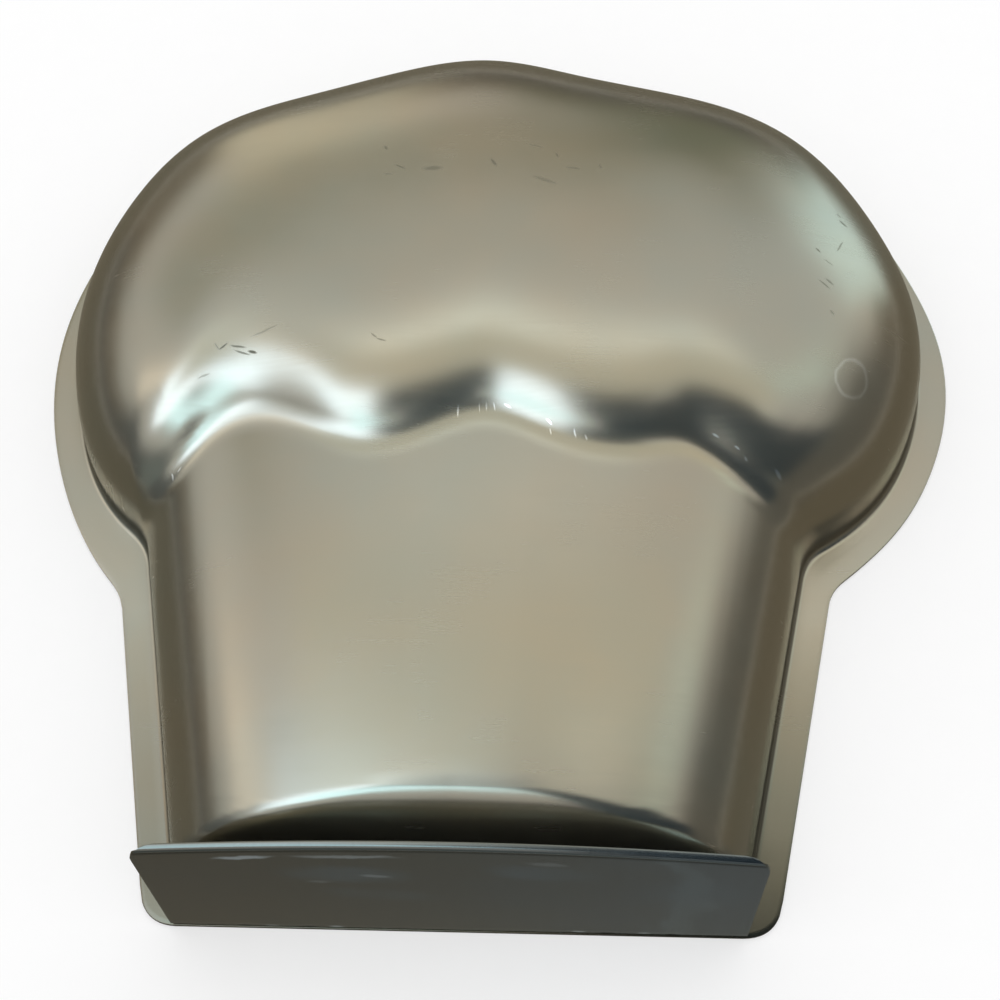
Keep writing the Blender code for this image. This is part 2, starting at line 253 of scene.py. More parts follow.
def patch(low, high, left, right, shares):
    rows = []
    across = np.linspace(0.0, 1.0, len(low))[:, None]
    for k, v in enumerate(shares):
        ruled = low * (1 - v) + high * v
        sides = left[k] * (1 - across) + right[k] * across
        cornerLow = low[0] * (1 - across) + low[-1] * across
        cornerHigh = high[0] * (1 - across) + high[-1] * across
        rows.append(ruled + sides - cornerLow * (1 - v) - cornerHigh * v)
    return rows


def notchBearing(side):
    low = math.radians(-90.0)
    high = math.radians(-90.0 + side * 90.0)
    for _ in range(shell["searchSteps"]):
        middle = (low + high) / 2
        x, y = polarPoint(middle, 1.0)
        if cupSide(x, y, 0.0) < 0:
            low = middle
        else:
            high = middle
    return low


def hollowLine(x, near, far):
    def frostingLower(point):
        z = height(point[:, 0], point[:, 1])
        return cupSide(point[:, 0], point[:, 1], z) - domeSide(point[:, 0], point[:, 1], z)
    start = np.column_stack([x, np.full(len(x), near)])
    end = np.column_stack([x, np.full(len(x), far)])
    return search(frostingLower, start, end)


def coreArc(start, end, shares):
    points = []
    for bearing in start + (end - start) * np.array(shares):
        aside = [abs(math.degrees(bearing) % 360 - corner) for corner in shell["domeCorners"]]
        drawn = max(0.0, 1 - min(aside) / shell["cornerSpread"]) * shell["cornerShare"]
        points.append(polarPoint(bearing, shell["coreShare"] + drawn))
    return np.array(points)


def coreRows(notches, cupRows, domeRows):
    leftNotch, rightNotch = notches
    count = shell["across"] + 1
    end = cupEnd() + shell["cupEndRoll"] * shell["coreShare"]
    turn = np.linspace(-1.0, 1.0, count)
    lowLine = np.column_stack([turn * shell["coreShare"] * cupHalfWidth(end), np.full(count, end)])
    waist = [polarPoint(notch, shell["coreShare"]) for notch in notches]
    waveLine = hollowLine(np.linspace(waist[0][0], waist[1][0], count), end, shell["domeMiddle"])
    cup = patch(lowLine, waveLine, between(lowLine[0], waveLine[0], cupRows),
                between(lowLine[-1], waveLine[-1], cupRows), cupRows)
    corners = [math.radians(bearing) for bearing in shell["domeCorners"]]
    left = coreArc(leftNotch, corners[0] - math.tau, domeRows)
    right = coreArc(rightNotch, corners[1], domeRows)
    fade = 1.0 - np.array(domeRows)[:, None]
    left += (waveLine[0] - waist[0]) * fade
    right += (waveLine[-1] - waist[1]) * fade
    top = coreArc(corners[0], corners[1], (turn + 1) / 2)
    dome = patch(waveLine, top, left, right, domeRows)
    return cup + dome[1:]


def border(rowCount):
    across = shell["across"]
    last = rowCount - 1
    loop = [(0, i) for i in range(across)]
    loop += [(j, across) for j in range(last)]
    loop += [(last, i) for i in range(across, 0, -1)]
    loop += [(j, 0) for j in range(last, 0, -1)]
    return loop


def loopNormals(points):
    along = np.roll(points, -1, axis=0) - np.roll(points, 1, axis=0)
    normals = np.column_stack([along[:, 1], -along[:, 0]])
    return normals / np.linalg.norm(normals, axis=1)[:, None]


def withHeight(points, z):
    return np.column_stack([points, np.broadcast_to(z, len(points))])


def wallRings(rows, loop):
    core = np.array([rows[j][i] for j, i in loop])
    low = core[:, 1].min()
    share = np.clip((shell["fanStart"] - core[:, 1]) / (shell["fanStart"] - low), 0.0, 1.0)
    outward = core - np.array([0.0, shell["domeMiddle"]])
    outward[:, 1] += shell["fanFall"] * share**2 * (3 - 2 * share)
    outward /= np.linalg.norm(outward, axis=1)[:, None]
    far = core + outward * shell["farReach"]
    fillet = shell["rimFillet"]
    tall = height(core[:, 0], core[:, 1])
    rings = []
    for step in finer(shell["wallSteps"], shell["finer"])[-2::-1]:
        level = fillet + (tall - fillet) * step
        ring = search(lambda p: panSide(p[:, 0], p[:, 1], level), core, far)
        rings.append(withHeight(ring, level))
    crown = [core + (rings[0][:, :2] - core) * step for step in shell["crownSteps"]]
    rings = [withHeight(ring, height(ring[:, 0], ring[:, 1])) for ring in crown] + rings
    wallFoot = rings[-1][:, :2]
    slant = (loopNormals(wallFoot) * outward).sum(axis=1)[:, None]
    for turn in shell["filletTurns"]:
        a = math.radians(turn)
        out = wallFoot + outward * fillet * (1 - math.cos(a)) / slant
        rings.append(withHeight(out, fillet * (1 - math.sin(a))))
    flat = rings[-1][:, :2]
    rim = search(lambda p: rimSide(p[:, 0], p[:, 1]), flat, far)
    for step in shell["rimSteps"]:
        rings.append(withHeight(flat + (rim - flat) * step, 0.0))
    return rings


def finish(piece, thickness, edgeRound):
    bpy.ops.object.select_all(action="DESELECT")
    piece.select_set(True)
    bpy.context.view_layer.objects.active = piece
    sheet = piece.modifiers.new("Sheet", "SOLIDIFY")
    sheet.thickness = thickness * mm
    sheet.offset = -1.0
    sheet.use_even_offset = True
    sheet.use_quality_normals = True
    bpy.ops.object.modifier_apply(modifier=sheet.name)
    bevel = piece.modifiers.new("Cut edges", "BEVEL")
    bevel.width = edgeRound * mm
    bevel.segments = edge["segments"]
    bevel.limit_method = "ANGLE"
    bevel.angle_limit = math.radians(edge["sharp"])
    bpy.ops.object.modifier_apply(modifier=bevel.name)
    bpy.ops.object.shade_smooth_by_angle(angle=math.radians(edge["smooth"]))
    bpy.ops.object.select_all(action="DESELECT")


def faceOut(mesh, direction):
    bmesh.ops.recalc_face_normals(mesh, faces=mesh.faces)
    mesh.normal_update()
    if sum(face.normal.dot(direction) * face.calc_area() for face in mesh.faces) < 0:
        bmesh.ops.reverse_faces(mesh, faces=mesh.faces)


def newPiece(name, grid):
    mesh = bpy.data.meshes.new(name)
    grid.to_mesh(mesh)
    grid.free()
    piece = bpy.data.objects.new(name, mesh)
    bpy.context.scene.collection.objects.link(piece)
    return piece


def makeShell():
    cupRows = finer(shell["cupRows"], shell["finer"])
    domeRows = finer(shell["domeRows"], shell["finer"])
    notches = notchBearing(-1), notchBearing(1)
    rows = coreRows(notches, cupRows, domeRows)
    loop = border(len(rows))
    rings = wallRings(rows, loop)
    across = shell["across"]
    grid = bmesh.new()
    bmesh.ops.create_grid(grid, x_segments=across, y_segments=len(rows) - 1, size=1.0)
    grid.verts.ensure_lookup_table()
    for j, row in enumerate(rows):
        z = height(row[:, 0], row[:, 1])
        for i, (x, y) in enumerate(row):
            grid.verts[j * (across + 1) + i].co = (x, y, z[i])
    outer = [grid.verts[j * (across + 1) + i] for j, i in loop]
    for ring in rings:
        drawn = [grid.verts.new(point) for point in ring]
        for k in range(len(loop)):
            after = (k + 1) % len(loop)
            grid.faces.new((outer[k], drawn[k], drawn[after], outer[after]))
        outer = drawn
    corner = rings[-1][:, :2]
    middle = (corner.min(axis=0) + corner.max(axis=0)) / 2
    for vert in grid.verts:
        vert.co = (vert.co - Vector((middle[0], middle[1], -shell["sheet"]))) * mm
    faceOut(grid, Vector((0.0, 0.0, 1.0)))
    piece = newPiece("panShell", grid)
    finish(piece, shell["sheet"], shell["edgeRound"])
    return piece, middle


def footPath():
    seat = shell["sheet"] + foot["seatGap"]
    fold = foot["foldInside"] + foot["sheet"]
    lip = foot["lipInside"] + foot["sheet"]
    top = shell["domeDepth"] + shell["sheet"]
    steps = foot["bendSteps"]
    legEnd = shell["rimWidth"] - foot["legClearance"]
    path = [(y, seat, 0.0) for y in np.linspace(legEnd, fold, foot["legRows"] + 1)[:-1]]
    for k in range(steps + 1):
        a = math.pi / 2 * k / steps
        path.append((fold * (1 - math.sin(a)), seat + fold * (1 - math.cos(a)), math.sin(2 * a)))
    low = seat + fold
    rise = top - lip - low
    for k in range(1, foot["plateRows"]):
        path.append((0.0, low + rise * k / foot["plateRows"], 0.0))
    for k in range(steps + 1):
        a = math.pi / 2 * k / steps
        path.append((lip * (1 - math.cos(a)), top - lip * (1 - math.sin(a)), 0.0))
    path += [(lip + foot["lipWidth"] * 0.5, top, 0.0), (lip + foot["lipWidth"], top, 0.0)]
    return path


def makeFoot(middle):
    path = footPath()
    half = rimHalfWidth(0.0) - foot["inset"]
    darts = [side * (half - inset) for side in (-1, 1) for inset in foot["dartInsets"]]
    columns = np.linspace(-half, half, foot["columns"] + 1)
    blank = sum(math.dist(a[:2], b[:2]) for a, b in zip(path, path[1:]))
    top = shell["domeDepth"] + shell["sheet"]
    seat = shell["sheet"] + foot["seatGap"]
    weldLine = (path[0][0] + foot["foldInside"] + foot["sheet"]) / 2
    tips = np.linspace(foot["weldInset"] - half, half - foot["weldInset"], foot["weldCount"])
    grid = bmesh.new()
    bmesh.ops.create_grid(grid, x_segments=len(columns) - 1, y_segments=len(path) - 1, size=1.0)
    grid.verts.ensure_lookup_table()
    run = 0.0
    for j, (y, z, turned) in enumerate(path):
        if j:
            run += math.dist(path[j - 1][:2], (y, z))
        past = max(foot["corner"] - (blank - run), 0.0)
        narrow = 1.0 - (foot["corner"] - math.sqrt(foot["corner"]**2 - past**2)) / half
        for i, column in enumerate(columns):
            x = column * narrow
            dent = sum(math.cos(math.pi * (x - dart) / foot["dartWidth"]) ** 2
                       for dart in darts if abs(x - dart) < foot["dartWidth"] / 2)
            press = foot["dartDepth"] * dent * turned
            if z == seat:
                near = min(math.hypot(x - tip, y - weldLine) for tip in tips)
                within = max(foot["weldWidth"] / 2 - near, 0.0)
                press = -foot["weldDent"] * min(within / foot["weldSlope"], 1.0)
            bow = foot["bow"] * (1 - (x / half) ** 2) * (z / top) ** 2
            inward = press if turned else 0.0
            point = Vector((x - middle[0], y + inward + bow - middle[1], z + press))
            grid.verts[j * len(columns) + i].co = point * mm
    faceOut(grid, Vector((0.0, -1.0, 0.0)))
    piece = newPiece("levellingFoot", grid)
    finish(piece, foot["sheet"], foot["edgeRound"])
    return piece


panShell, middle = makeShell()
print("shell:", len(panShell.data.polygons), "faces, middle", middle)
levellingFoot = makeFoot(middle)
print("foot:", len(levellingFoot.data.polygons), "faces")


def newTree(name):
    material = bpy.data.materials.new(name)
    material.use_nodes = True
    return material, material.node_tree, material.node_tree.nodes["Principled BSDF"]


def put(tree, kind, inputs=None, **settings):
    node = tree.nodes.new(kind)
    for name, value in settings.items():
        setattr(node, name, value)
    for socket, value in (inputs or {}).items():
        if isinstance(value, bpy.types.NodeSocket):
            tree.links.new(value, node.inputs[socket])
        else:
            node.inputs[socket].default_value = value
    return node.outputs[0]


def onObject(tree, place=(0, 0, 0), turn=(0, 0, 0), size=(1, 1, 1)):
    spots = put(tree, "ShaderNodeTexCoord")
    objectSpots = spots.node.outputs["Object"]
    return put(tree, "ShaderNodeMapping",
               {"Vector": objectSpots, "Location": place, "Rotation": turn, "Scale": size},
               vector_type="TEXTURE")


def noise(tree, vector, scale, detail=2.0, rough=0.5):
    return put(tree, "ShaderNodeTexNoise",
               {"Vector": vector, "Scale": scale, "Detail": detail, "Roughness": rough})


def fit(tree, value, low, high, toLow=0.0, toHigh=1.0):
    return put(tree, "ShaderNodeMapRange",
               {"Value": value, "From Min": low, "From Max": high, "To Min": toLow,
                "To Max": toHigh})


def calc(tree, how, a, b):
    return put(tree, "ShaderNodeMath", {0: a, 1: b}, operation=how, use_clamp=how == "MULTIPLY")


def blend(tree, amount, a, b):
    node = put(tree, "ShaderNodeMix", data_type="RGBA").node
    for socket, value in ((0, amount), (6, a), (7, b)):
        if isinstance(value, bpy.types.NodeSocket):
            tree.links.new(value, node.inputs[socket])
        else:
            node.inputs[socket].default_value = value
    return node.outputs[2]


# A mark is whole inside this share of its size, and fades from there to its edge
markCore = 0.35


def smear(tree, warped, mark):
    x1, y1, x2, y2, width, strength = mark
    turn = math.atan2(y2 - y1, x2 - x1)
    size = math.hypot(x2 - x1, y2 - y1) / 2 + width / 2, width / 2
    spot = put(tree, "ShaderNodeMapping",
               {"Vector": warped, "Location": ((x1 + x2) / 2 * mm, (y1 + y2) / 2 * mm, 0),
                "Rotation": (0, 0, turn), "Scale": (size[0] * mm, size[1] * mm, 10)},
               vector_type="TEXTURE")
    far = put(tree, "ShaderNodeVectorMath", {0: spot}, operation="LENGTH").node.outputs["Value"]
    return put(tree, "ShaderNodeMapRange",
               {"Value": far, "From Min": 1.0, "From Max": markCore, "To Min": 0.0,
                "To Max": strength}, interpolation_type="SMOOTHSTEP")


def allOf(tree, warped, marks):
    total = smear(tree, warped, marks[0])
    for mark in marks[1:]:
        total = calc(tree, "MAXIMUM", total, smear(tree, warped, mark))
    return total


# The shell's finish, in metres, with a painted shade on the rim's front and painted glints
# on small dents. The rim's heights, the marks and the patch are in millimetres on the pan
# seen from above. A mark has one end, the other end, width and strength, and the patch is
# the outline that a dried drop left
shellLook = {
    "metal": (0.335, 0.31, 0.245),
    "warm": (0.352, 0.312, 0.238),
    "cool": (0.318, 0.312, 0.256),
    "scratchColour": (0.1, 0.095, 0.07),
    # Colour of the painted glints on small dents, also given to the dried drop's lighter outline
    "glintAndRingColour": (0.95, 0.95, 0.9),
    "cloudScale": 14.0,
    "cloudTone": (0.35, 0.65),
    "blotchScale": 34.0,
    "blotchPlace": (0.3, 0.1, 0.0),
    "lineSize": (0.03, 0.0007, 0.03),
    "roughness": 0.25,
    "roughSpread": 0.05,
    "lineSpread": 0.03,
    "lineTint": 0.15,
    "scratchRough": 0.2,
    # Painted shade on the rim's flat towards the front, by the foot: its dark colour, the height
    # in millimetres under which it is full and over which it fades, its strength, and where along
    # the pan in metres it starts and is full
    "rimShadeColour": (0.08, 0.07, 0.045),
    "rimTop": 1.2,
    "rimFade": 1.2,
    "rimShade": 0.85,
    "shadeStart": -0.06,
    "shadeEnd": -0.14,
    "swayScale": 16.0,
    "sway": 0.00007,
    "grain": 0.0000006,
    "lines": 0.0000002,
    "wobbleScale": 260.0,
    "wobble": 0.0007,
    "metallic": 0.94,
    "scratches": (
        (-78.6, 0.1, -76.0, 2.2, 0.8, 0.9), (-79.9, 2.3, -78.4, 0.1, 0.7, 0.5),
        (-75.6, 1.5, -70.2, 0.4, 0.9, 0.8), (-74.2, 0.1, -68.7, -1.9, 0.8, 0.75),
        (-69.6, -0.6, -67.4, -1.4, 1.2, 1.0), (-69.8, 3.4, -60.9, 6.8, 0.9, 0.4),
        (-84.5, -8.3, -80.6, -6.6, 0.8, 0.35),
        (-34.9, 75.8, -34.2, 74.6, 1.3, 0.5), (-31.1, 67.6, -27.5, 65.4, 0.8, 0.6),
        (-34.2, 63.3, -31.6, 63.5, 0.7, 0.5), (-22.0, 65.6, -16.6, 65.9, 2.6, 0.5),
        (-1.8, 69.9, 0.3, 66.8, 1.3, 0.6), (9.3, 77.0, 14.6, 75.4, 0.7, 0.35),
        (18.4, 73.0, 18.9, 71.2, 1.1, 0.35), (11.3, 62.6, 19.3, 59.4, 1.9, 0.35),
        (21.4, 66.7, 26.1, 66.0, 1.2, 0.35), (31.6, 68.2, 32.4, 66.6, 1.0, 0.3),
        (-33.9, 2.3, -31.8, 0.5, 0.7, 0.45), (-32.2, 0.4, -29.3, -0.5, 0.7, 0.5),
        (105.6, 59.9, 106.4, 58.8, 1.2, 0.3),
        (106.1, 56.9, 108.0, 55.4, 1.4, 0.55), (106.3, 47.7, 103.4, 42.0, 0.8, 0.45),
        (96.8, 41.6, 98.2, 40.2, 1.0, 0.6), (99.1, 37.8, 101.8, 35.9, 0.8, 0.35),
        (96.4, 29.5, 100.2, 26.2, 0.8, 0.55), (98.8, 30.2, 101.2, 28.2, 1.2, 0.5),
        (99.6, 18.6, 100.6, 17.2, 1.1, 0.4),
    ),
    # Small dents, whose glints are painted in a bright colour
    "nickGlints": (
        (-8.4, -16.9, -8.3, -20.6, 0.7, 0.9), (-2.3, -15.9, -2.2, -18.9, 0.5, 0.35),
        (-0.3, -15.7, -0.2, -18.6, 0.5, 0.3), (1.5, -15.9, 2.3, -18.4, 0.6, 0.35),
        (4.9, -16.6, 6.6, -17.6, 1.0, 0.5), (16.9, -21.4, 18.3, -23.0, 0.9, 0.9),
        (17.9, -24.0, 18.2, -26.0, 0.6, 0.5), (24.6, -24.6, 25.2, -27.0, 0.7, 0.6),
        (27.6, -26.3, 28.2, -27.6, 0.7, 0.4), (63.6, -23.5, 65.6, -24.6, 0.7, 0.45),
        (69.9, -26.5, 71.4, -27.4, 0.7, 0.5), (72.6, -28.8, 73.6, -30.2, 0.6, 0.35),
        (81.4, -31.6, 83.2, -33.6, 1.2, 0.35), (-91.3, -31.4, -90.8, -33.4, 0.7, 0.8),
        (-89.6, -31.4, -88.4, -30.2, 0.6, 0.4),
    ),
    "patch": {"place": (104.6, -2.4), "size": (6.2, 4.4), "turn": 62, "width": 0.16,
              "wobbleScale": 120.0, "wobble": 0.0022, "strength": 0.17},
}


def shaken(tree, spots, scale, wobble):
    jitter = noise(tree, spots, scale, 2.0).node.outputs["Color"]
    shift = put(tree, "ShaderNodeVectorMath", {0: jitter, 1: (0.5, 0.5, 0.5)},
                operation="SUBTRACT")
    shift = put(tree, "ShaderNodeVectorMath", {0: shift, "Scale": wobble}, operation="SCALE")
    return put(tree, "ShaderNodeVectorMath", {0: spots, 1: shift}, operation="ADD")


def outline(tree, spots, patch):
    x, y = patch["place"]
    wide, high = patch["size"]
    warped = shaken(tree, spots, patch["wobbleScale"], patch["wobble"])
    spot = put(tree, "ShaderNodeMapping",
               {"Vector": warped, "Location": (x * mm, y * mm, 0),
                "Rotation": (0, 0, math.radians(patch["turn"])),
                "Scale": (wide * mm, high * mm, 10)}, vector_type="TEXTURE")
    far = put(tree, "ShaderNodeVectorMath", {0: spot}, operation="LENGTH").node.outputs["Value"]
    gap = calc(tree, "ABSOLUTE", calc(tree, "SUBTRACT", far, 1.0), 0.0)
    return fit(tree, gap, patch["width"], 0.0, 0.0, patch["strength"])


# What both metals share: the part of a noise's range that is used, and the grain's scale
midTones = (0.3, 0.7)
grainScale = 1300.0


def roughMetal(tree, look, blotch, drawn):
    low = look["roughness"] - look["roughSpread"] / 2
    half = look["lineSpread"] / 2
    rough = fit(tree, blotch, *midTones, low, low + look["roughSpread"])
    return calc(tree, "ADD", rough, fit(tree, drawn, *midTones, -half, half))


def dressMetal(tree, shader, look, spots, drawn, colour, rough):
    grain = noise(tree, spots, grainScale, 2.0, 0.6)
    height = fit(tree, noise(tree, spots, look["swayScale"], 1.0), 0.0, 1.0, 0.0, look["sway"])
    for part, depth in ((grain, look["grain"]), (drawn, look["lines"])):
        height = calc(tree, "ADD", height, fit(tree, part, 0.0, 1.0, 0.0, depth))
    bump = put(tree, "ShaderNodeBump", {"Height": height, "Strength": 1.0, "Distance": 1.0})
    tree.links.new(colour, shader.inputs["Base Color"])
    tree.links.new(rough, shader.inputs["Roughness"])
    tree.links.new(bump, shader.inputs["Normal"])
    shader.inputs["Metallic"].default_value = look["metallic"]


def shellMetal():
    look = shellLook
    material, tree, shader = newTree("satinShell")
    spots = onObject(tree)
    warped = shaken(tree, spots, look["wobbleScale"], look["wobble"])
    cloudy = fit(tree, noise(tree, spots, look["cloudScale"], 3.0, 0.55), *look["cloudTone"])
    blotch = noise(tree, onObject(tree, place=look["blotchPlace"]), look["blotchScale"], 4.0, 0.6)
    drawn = noise(tree, onObject(tree, size=look["lineSize"]), 1.0, 3.0, 0.6)
    scratches = allOf(tree, warped, look["scratches"])
    # Painted glints on small dents, with the dried drop's outline added in
    nickGlints = calc(tree, "MAXIMUM", allOf(tree, warped, look["nickGlints"]),
                 outline(tree, spots, look["patch"]))
    colour = blend(tree, cloudy, (*look["cool"], 1), (*look["warm"], 1))
    colour = blend(tree, fit(tree, drawn, *midTones, 0.0, look["lineTint"]), colour,
                   (*look["metal"], 1))
    parts = put(tree, "ShaderNodeSeparateXYZ", {"Vector": spots}).node
    # Painted shade: the rim's flat darkens towards the front, by the foot
    rim = fit(tree, parts.outputs["Z"], (look["rimTop"] + look["rimFade"]) * mm,
              look["rimTop"] * mm)
    front = fit(tree, parts.outputs["Y"], look["shadeStart"], look["shadeEnd"], 0.0,
                look["rimShade"])
    colour = blend(tree, calc(tree, "MULTIPLY", rim, front), colour, (*look["rimShadeColour"], 1))
    colour = blend(tree, scratches, colour, (*look["scratchColour"], 1))
    # Painted glints, and the dried drop's lighter outline
    colour = blend(tree, nickGlints, colour, (*look["glintAndRingColour"], 1))
    rough = roughMetal(tree, look, blotch, drawn)
    rough = calc(tree, "ADD", rough, fit(tree, scratches, 0.0, 1.0, 0.0, look["scratchRough"]))
    dressMetal(tree, shader, look, spots, drawn, colour, rough)
    return material


# The foot's finish, in metres, with painted reflection in its colours: browner at its left
# end, bluer towards its right, with a bluish strip, painted sheens and highlights and a
# painted shade on its lip, and with upright lines of grain. The marks, the strip and the
# lip are in millimetres across and up the plate
footLook = {
    # Painted reflection across the plate, from its left end through its middle to its right
    "left": (0.25, 0.225, 0.16),
    "middle": (0.265, 0.27, 0.235),
    "right": (0.265, 0.305, 0.32),
    # Colour of the bluish strip of painted reflection
    "strip": (0.31, 0.365, 0.38),
    "metallic": 0.96,
    "leftFade": (-0.075, 0.0),
    "rightFade": (0.0, 0.06),
    # A noise that moves the painted reflection's edges: its scale and shift
    "mottleScale": 30.0,
    "mottleShift": 0.012,
    # A bluish upright strip of painted reflection: where it lies, its width and its full width
    "stripAt": 50.0,
    "stripWidth": 14.0,
    "stripFull": 5.6,
    "lineColour": (0.18, 0.18, 0.16),
    "lineTone": (0.35, 0.75),
    "lineTint": 0.2,
    "lineSize": (0.0008, 0.03, 0.03),
    "roughness": 0.2,
    "roughSpread": 0.08,
    "lineSpread": 0.05,
    "swayScale": 22.0,
    "sway": 0.0002,
    "grain": 0.000003,
    "lines": 0.000003,
    "wobbleScale": 200.0,
    "wobble": 0.001,
    # Painted shade on the lip's top: the height in millimetres where it starts, how far it fades
    # in, its colour and strength
    "lipStart": 54.2,
    "lipFade": 1.0,
    "lipShadeColour": (0.1, 0.105, 0.1),
    "lipShade": 0.75,
    # Painted sheens, patchy by a noise: colour, how patchy, the least left, and marks with one
    # end, the other end, width and strength
    "sheenColour": (0.31, 0.38, 0.42),
    "sheenMottle": (0.3, 0.6),
    "sheenLeast": 0.4,
    "sheens": (
        (-44.0, 42.0, -16.0, 40.5, 13.0, 0.55), (6.0, 45.0, 30.0, 43.0, 12.0, 0.5),
        (-38.0, 30.0, -8.0, 27.0, 10.0, 0.25), (52.0, 34.0, 60.0, 34.0, 26.0, 0.35),
    ),
    # Painted highlights: colour, and marks with one end, the other end, width and strength; the
    # lowest four are glints at the darts
    "shineColour": (0.85, 0.95, 1.0),
    "shines": (
        (-61.0, 51.4, -46.0, 51.9, 2.8, 1.0), (-44.0, 52.2, -14.0, 51.6, 2.6, 0.55),
        (-26.5, 40.5, -19.0, 39.6, 2.6, 0.35), (-40.0, 36.5, -34.0, 36.0, 2.2, 0.2),
        (14.0, 50.0, 24.0, 49.2, 3.0, 0.2), (-54.8, 3.2, -51.6, 3.2, 1.6, 0.5),
        (-37.9, 3.2, -34.4, 3.2, 1.8, 0.9), (25.4, 3.2, 28.9, 3.2, 1.8, 0.8),
        (42.5, 3.2, 45.7, 3.2, 1.6, 0.6),
    ),
}


def footMetal():
    look = footLook
    material, tree, shader = newTree("satinFoot")
    spots = onObject(tree)
    parts = put(tree, "ShaderNodeSeparateXYZ", {"Vector": spots}).node
    # A noise that moves the edges of the painted reflection, makes the painted sheens patchy and
    # varies the roughness
    mottle = noise(tree, spots, look["mottleScale"], 4.0, 0.6)
    drift = fit(tree, mottle, *midTones, -look["mottleShift"], look["mottleShift"])
    moved = calc(tree, "ADD", parts.outputs["X"], drift)
    jitter = fit(tree, noise(tree, spots, look["wobbleScale"], 2.0), 0.0, 1.0, -look["wobble"],
                 look["wobble"])
    rise = calc(tree, "ADD", parts.outputs["Z"], jitter)
    plate = put(tree, "ShaderNodeCombineXYZ", {"X": parts.outputs["X"], "Y": rise})
    upright = noise(tree, onObject(tree, size=look["lineSize"]), 1.0, 3.0, 0.6)
    # Painted reflection: browner at the left end and bluer towards the right, the edges moved by a
    # noise
    colour = blend(tree, fit(tree, moved, *look["leftFade"]), (*look["left"], 1),
                   (*look["middle"], 1))
    colour = blend(tree, fit(tree, moved, *look["rightFade"]), colour, (*look["right"], 1))
    # Painted reflection: a bluish upright strip
    strip = calc(tree, "ABSOLUTE", calc(tree, "SUBTRACT", moved, look["stripAt"] * mm), 0.0)
    strip = fit(tree, strip, look["stripWidth"] / 2 * mm, look["stripFull"] / 2 * mm)
    colour = blend(tree, strip, colour, (*look["strip"], 1))
    colour = blend(tree, fit(tree, upright, *look["lineTone"], 0.0, look["lineTint"]), colour,
                   (*look["lineColour"], 1))
    # Painted sheens, patchy by a noise
    patchy = fit(tree, mottle, *look["sheenMottle"], look["sheenLeast"], 1.0)
    sheen = calc(tree, "MULTIPLY", allOf(tree, plate, look["sheens"]), patchy)
    colour = blend(tree, sheen, colour, (*look["sheenColour"], 1))
    # Painted shade on the lip's top
    lip = fit(tree, parts.outputs["Z"], look["lipStart"] * mm,
              (look["lipStart"] + look["lipFade"]) * mm, 0.0, look["lipShade"])
    colour = blend(tree, lip, colour, (*look["lipShadeColour"], 1))
    # Painted highlights, and glints at the darts
    colour = blend(tree, allOf(tree, plate, look["shines"]), colour, (*look["shineColour"], 1))
    rough = roughMetal(tree, look, mottle, upright)
    dressMetal(tree, shader, look, spots, upright, colour, rough)
    return material


panShell.data.materials.append(shellMetal())
levellingFoot.data.materials.append(footMetal())
print("finishes: shell and foot")

for piece, node, slot in ((panShell, "pan_shell", "satin_aluminium"),
                          (levellingFoot, "levelling_foot", "shaded_aluminium")):
    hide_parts(node)
    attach(piece, "root")

# The camera that the photograph was taken from, in metres and degrees
camera = {
    "place": (0.0201, -0.28121, 0.41648),
    "tilt": 32.21,
    "yaw": 3.836,
    "roll": -2.517,
    "lens": 57.617,
    "sensor": 36.0,
}


def makeCamera():
    tilt = Matrix.Rotation(math.radians(camera["tilt"]), 4, "X")
    yaw = Matrix.Rotation(math.radians(camera["yaw"]), 4, "Z")
    roll = Matrix.Rotation(math.radians(camera["roll"]), 4, "Z")
    lens = bpy.data.cameras.new("camera")
    lens.lens = camera["lens"]
    lens.sensor_width = camera["sensor"]
    lens.clip_start = 0.01
    holder = bpy.data.objects.new("camera", lens)
    holder.matrix_world = Matrix.Translation(camera["place"]) @ yaw @ tilt @ roll
    bpy.context.scene.collection.objects.link(holder)
    bpy.context.scene.camera = holder


makeCamera()

